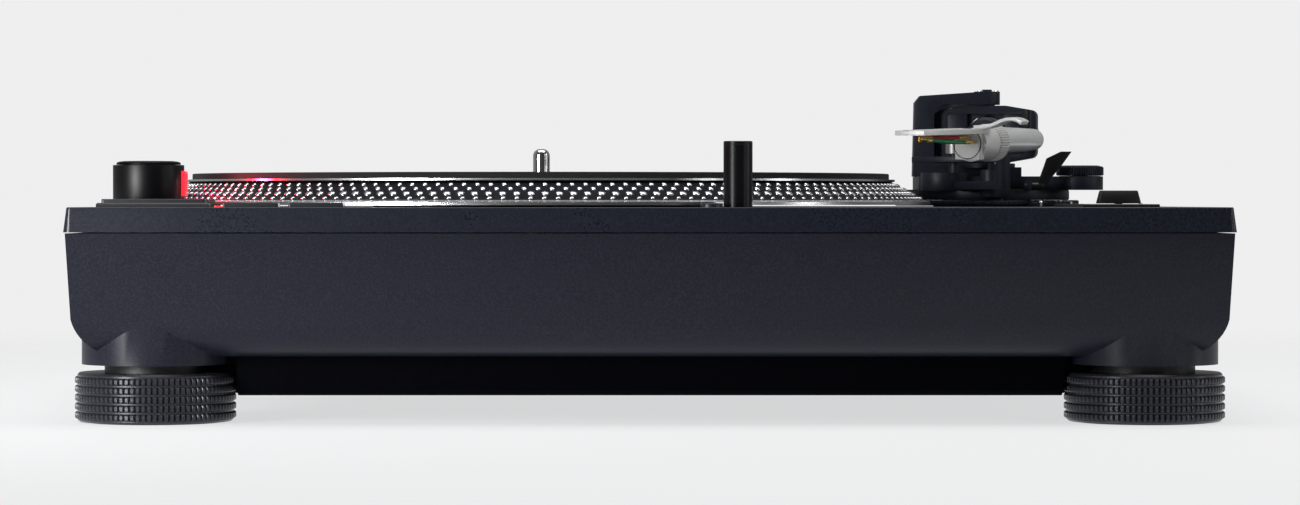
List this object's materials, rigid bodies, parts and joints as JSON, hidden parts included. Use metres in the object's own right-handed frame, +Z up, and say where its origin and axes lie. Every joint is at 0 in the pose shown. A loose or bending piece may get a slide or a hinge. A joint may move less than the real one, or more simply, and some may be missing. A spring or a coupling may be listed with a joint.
{
  "type": "dj turntable",
  "caption": "Direct-drive turntable with a cast deck on a deep cabinet, dotted platter, S-shaped tonearm in a gimbal, pitch slider and levelling feet.",
  "frame": {"origin": "centre of the footprint, on the surface that the feet stand on", "axes": "+X to the right seen from the front, +Y to the back, +Z up"},
  "size_m": [0.453, 0.353, 0.1366],
  "materials": {
    "deck_coat": "satin powder coat",
    "cabinet_coat": "fine satin coat",
    "base_rubber": "matte",
    "screw_steel": "black oxide",
    "circuit_board": "solder mask",
    "copper": "enamelled wire",
    "bearing_brass": "turned",
    "tower_coat": "satin",
    "strobe_red": "clear red",
    "trim_black": "fine texture",
    "fader_plastic": "plain",
    "terminal_plastic": "fine texture",
    "platter_metal": "turned and polished",
    "mat_rubber": "felted",
    "spindle_steel": "polished",
    "magnet_ferrite": "sintered",
    "button_metal": "satin",
    "knob_plastic": "satin",
    "knob_gloss": "gloss",
    "light_gloss": "gloss lacquer",
    "arm_coat": "satin",
    "arm_silver": "satin anodised",
    "headshell_silver": "satin anodised",
    "lead_insulation": "coloured insulation",
    "weight_steel": "black chrome",
    "foot_metal": "knurled and coated",
    "foot_stem": "satin"
  },
  "bodies": {
    "cabinet": {"top_plate": "deck_coat", "cabinet_shell": "cabinet_coat", "base_pan": "base_rubber", "case_screws": "screw_steel", "stator_board": "circuit_board", "stator_coils": "copper", "spindle_bearing": "bearing_brass", "strobe_tower": "tower_coat", "strobe_lens": "strobe_red", "button_bezel": "trim_black", "pitch_plate": "trim_black", "pitch_fader": "fader_plastic", "circuit_boards": "circuit_board", "power_inlet": "terminal_plastic", "phono_terminals": "terminal_plastic", "hinge_sockets": "terminal_plastic", "target_light_sleeve": "trim_black", "arm_mount": "arm_coat"},
    "turning_platter": {"platter": "platter_metal", "platter_mat": "mat_rubber", "spindle": "spindle_steel", "rotor_magnet": "magnet_ferrite"},
    "adaptor": {"record_adaptor": "platter_metal"},
    "power_knob": {"power_knob": "tower_coat"},
    "start_stop_button": {"start_stop_button": "button_metal"},
    "speed_33_button": {"speed_33_button": "button_metal"},
    "speed_45_button": {"speed_45_button": "button_metal"},
    "pitch_knob": {"pitch_knob": "knob_plastic"},
    "pitch_reset_button": {"pitch_reset_button": "knob_plastic"},
    "pitch_range_button": {"pitch_range_button": "knob_plastic"},
    "target_light": {"target_light": "light_gloss"},
    "target_release_button": {"target_release_button": "button_metal"},
    "tonearm_base": {"arm_base": "arm_coat", "gimbal_yoke": "arm_coat", "arm_rest": "arm_coat"},
    "height_ring": {"height_ring": "arm_coat"},
    "height_lock_lever": {"height_lock_lever": "knob_gloss"},
    "anti_skate_dial": {"anti_skate_dial": "arm_coat"},
    "cue_lever": {"cue_lever": "knob_plastic"},
    "lifter_bar": {"lifter_bar": "arm_coat"},
    "arm_rest_clip": {"arm_rest_clip": "knob_plastic"},
    "gimbal_ring": {"gimbal_ring": "arm_coat"},
    "tonearm": {"arm_tube": "arm_silver", "weight_shaft": "arm_coat", "headshell": "headshell_silver", "finger_lift": "headshell_silver", "headshell_leads": "lead_insulation"},
    "headshell_nut": {"headshell_nut": "headshell_silver"},
    "weight_bush": {"weight_bush": "arm_coat"},
    "counterweight": {"counterweight": "weight_steel"},
    "force_dial": {"force_dial": "knob_plastic"},
    "foot_core_front_left": {"foot_core_front_left": "foot_stem"},
    "foot_shell_front_left": {"foot_shell_front_left": "foot_metal"},
    "foot_core_rear_left": {"foot_core_rear_left": "foot_stem"},
    "foot_shell_rear_left": {"foot_shell_rear_left": "foot_metal"},
    "foot_core_front_right": {"foot_core_front_right": "foot_stem"},
    "foot_shell_front_right": {"foot_shell_front_right": "foot_metal"},
    "foot_core_rear_right": {"foot_core_rear_right": "foot_stem"},
    "foot_shell_rear_right": {"foot_shell_rear_right": "foot_metal"}
  },
  "joints": [
    {"name": "platter_spin", "type": "hinge", "parent": "cabinet", "child": "turning_platter", "pos_m": [-0.0464, 0, 0.09], "axis": [0, 0, 1], "continuous": true},
    {"name": "adaptor_lift", "type": "slide", "parent": "cabinet", "child": "adaptor", "axis": [0, 0, 1], "range_m": [0, 0.03]},
    {"name": "power_knob_turn", "type": "hinge", "parent": "cabinet", "child": "power_knob", "pos_m": [-0.2023, -0.1, 0.101], "axis": [0, 0, 1], "range_deg": [0, 35]},
    {"name": "start_stop_press", "type": "slide", "parent": "cabinet", "child": "start_stop_button", "axis": [0, 0, -1], "range_m": [0, 0.0012], "stiffness_N_per_m": 800, "springref_m": -0.001},
    {"name": "speed_33_press", "type": "slide", "parent": "cabinet", "child": "speed_33_button", "axis": [0, 0, -1], "range_m": [0, 0.0012], "stiffness_N_per_m": 500, "springref_m": -0.001},
    {"name": "speed_45_press", "type": "slide", "parent": "cabinet", "child": "speed_45_button", "axis": [0, 0, -1], "range_m": [0, 0.0012], "stiffness_N_per_m": 500, "springref_m": -0.001},
    {"name": "pitch_reset_press", "type": "slide", "parent": "cabinet", "child": "pitch_reset_button", "axis": [0, 0, -1], "range_m": [0, 0.0012], "stiffness_N_per_m": 300, "springref_m": -0.001},
    {"name": "pitch_range_press", "type": "slide", "parent": "cabinet", "child": "pitch_range_button", "axis": [0, 0, -1], "range_m": [0, 0.0012], "stiffness_N_per_m": 300, "springref_m": -0.001},
    {"name": "target_release_press", "type": "slide", "parent": "cabinet", "child": "target_release_button", "axis": [0, 0, -1], "range_m": [0, 0.0012], "stiffness_N_per_m": 400, "springref_m": -0.001},
    {"name": "pitch_slide", "type": "slide", "parent": "cabinet", "child": "pitch_knob", "axis": [0, 1, 0], "range_m": [-0.05, 0.05]},
    {"name": "target_light_press", "type": "slide", "parent": "cabinet", "child": "target_light", "axis": [0, 0, -1], "range_m": [0, 0.0252], "stiffness_N_per_m": 30, "springref_m": -0.012},
    {"name": "height_ring_turn", "type": "hinge", "parent": "cabinet", "child": "height_ring", "pos_m": [0.15101, 0.086, 0.086], "axis": [0, 0, 1], "range_deg": [0, 300]},
    {"name": "arm_height", "type": "slide", "parent": "cabinet", "child": "tonearm_base", "axis": [0, 0, 1], "range_m": [0, 0.006]},
    {"name": "height_lock_turn", "type": "hinge", "parent": "cabinet", "child": "height_lock_lever", "pos_m": [0.17401, 0.0395, 0.086], "axis": [0, 0, 1], "range_deg": [0, 60]},
    {"name": "anti_skate_turn", "type": "hinge", "parent": "tonearm_base", "child": "anti_skate_dial", "pos_m": [0.19001, 0.06, 0.1], "axis": [0, 0, 1], "range_deg": [0, 270]},
    {"name": "cue_lever_turn", "type": "hinge", "parent": "tonearm_base", "child": "cue_lever", "pos_m": [0.17031, 0.047, 0.0932], "axis": [1, 0, 0], "range_deg": [0, 55]},
    {"name": "cue_lift", "type": "slide", "parent": "tonearm_base", "child": "lifter_bar", "axis": [0, 0, 1], "range_m": [-0.003, 0]},
    {"name": "rest_clip_turn", "type": "hinge", "parent": "tonearm_base", "child": "arm_rest_clip", "pos_m": [0.16024, 0.02382, 0.11704], "axis": [0.1739, -0.9848, 0], "range_deg": [0, 90]},
    {"name": "arm_swing", "type": "hinge", "parent": "tonearm_base", "child": "gimbal_ring", "pos_m": [0.15101, 0.086, 0.1166], "axis": [0, 0, 1], "range_deg": [-42, 0]},
    {"name": "arm_tilt", "type": "hinge", "parent": "gimbal_ring", "child": "tonearm", "pos_m": [0.15101, 0.086, 0.1166], "axis": [-0.9816, 0.1908, 0], "range_deg": [0, 12]},
    {"name": "counterweight_travel", "type": "slide", "parent": "tonearm", "child": "weight_bush", "axis": [0.1907, 0.981, 0.0349], "range_m": [-0.004, 0.006]},
    {"name": "counterweight_turn", "type": "hinge", "parent": "weight_bush", "child": "counterweight", "pos_m": [0.1615, 0.13996, 0.11852], "axis": [0.1907, 0.981, 0.0349], "range_deg": [-360, 540]},
    {"name": "force_dial_turn", "type": "hinge", "parent": "weight_bush", "child": "force_dial", "pos_m": [0.1582, 0.12299, 0.11792], "axis": [0.1907, 0.981, 0.0349], "range_deg": [-180, 180]},
    {"name": "headshell_nut_turn", "type": "hinge", "parent": "tonearm", "child": "headshell_nut", "pos_m": [0.13547, -0.09605, 0.11026], "axis": [-0.5445, -0.8381, -0.0324], "range_deg": [0, 90]},
    {"name": "foot_front_left_height", "type": "slide", "parent": "cabinet", "child": "foot_core_front_left", "axis": [0, 0, -1], "range_m": [0, 0.0045]},
    {"name": "foot_front_left_turn", "type": "hinge", "parent": "foot_core_front_left", "child": "foot_shell_front_left", "pos_m": [-0.1943, -0.1443, 0.01], "axis": [0, 0, 1], "range_deg": [0, 1080]},
    {"name": "foot_rear_left_height", "type": "slide", "parent": "cabinet", "child": "foot_core_rear_left", "axis": [0, 0, -1], "range_m": [0, 0.0045]},
    {"name": "foot_rear_left_turn", "type": "hinge", "parent": "foot_core_rear_left", "child": "foot_shell_rear_left", "pos_m": [-0.1943, 0.1443, 0.01], "axis": [0, 0, 1], "range_deg": [0, 1080]},
    {"name": "foot_front_right_height", "type": "slide", "parent": "cabinet", "child": "foot_core_front_right", "axis": [0, 0, -1], "range_m": [0, 0.0045]},
    {"name": "foot_front_right_turn", "type": "hinge", "parent": "foot_core_front_right", "child": "foot_shell_front_right", "pos_m": [0.1943, -0.1443, 0.01], "axis": [0, 0, 1], "range_deg": [0, 1080]},
    {"name": "foot_rear_right_height", "type": "slide", "parent": "cabinet", "child": "foot_core_rear_right", "axis": [0, 0, -1], "range_m": [0, 0.0045]},
    {"name": "foot_rear_right_turn", "type": "hinge", "parent": "foot_core_rear_right", "child": "foot_shell_rear_right", "pos_m": [0.1943, 0.1443, 0.01], "axis": [0, 0, 1], "range_deg": [0, 1080]}
  ],
  "couplings": [
    {"joint": "height_ring_turn", "follows": "arm_height", "rad_per_m": 872.66},
    {"joint": "cue_lever_turn", "follows": "cue_lift", "rad_per_m": -319.97},
    {"joint": "counterweight_turn", "follows": "counterweight_travel", "rad_per_m": 1570.8},
    {"joint": "foot_front_left_turn", "follows": "foot_front_left_height", "rad_per_m": 4188.7},
    {"joint": "foot_rear_left_turn", "follows": "foot_rear_left_height", "rad_per_m": 4188.7},
    {"joint": "foot_front_right_turn", "follows": "foot_front_right_height", "rad_per_m": 4188.7},
    {"joint": "foot_rear_right_turn", "follows": "foot_rear_right_height", "rad_per_m": 4188.7}
  ]
}
